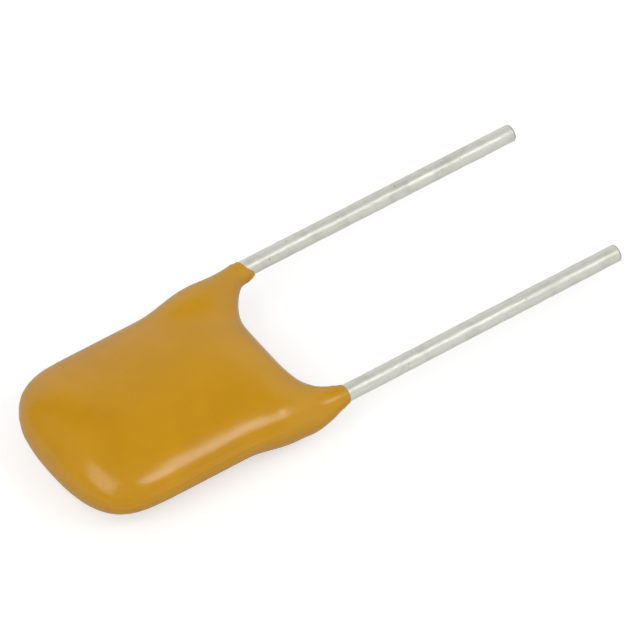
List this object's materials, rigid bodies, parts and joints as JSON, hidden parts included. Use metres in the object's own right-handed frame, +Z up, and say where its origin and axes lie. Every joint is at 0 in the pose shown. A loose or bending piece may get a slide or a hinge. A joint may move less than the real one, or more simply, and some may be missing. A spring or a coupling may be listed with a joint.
{
  "type": "resettable fuse",
  "caption": "Radial-leaded resettable fuse: pillow-shaped glossy mustard epoxy coat over a conductive-polymer chip between foils, with parallel tinned wire leads for board holes.",
  "frame": {"origin": "under the middle of the whole part, on the surface it lies on", "axes": "+X across the leads, +Y along the leads towards their tips, +Z up out of the broad face"},
  "size_m": [0.006, 0.0176, 0.0023],
  "materials": {
    "epoxy": "glossy dipped epoxy with fine specks",
    "polymer": "dull carbon-filled polymer",
    "foil": "matt nickel-faced foil",
    "tinned_wire": "satin tin plating",
    "solder": "dull reflowed solder"
  },
  "bodies": {
    "root": {"epoxy_coating": "epoxy", "ptc_chip": "polymer", "upper_electrode_foil": "foil", "lower_electrode_foil": "foil", "upper_lead_wire": "tinned_wire", "lower_lead_wire": "tinned_wire", "upper_solder_joint": "solder", "lower_solder_joint": "solder"}
  },
  "joints": []
}
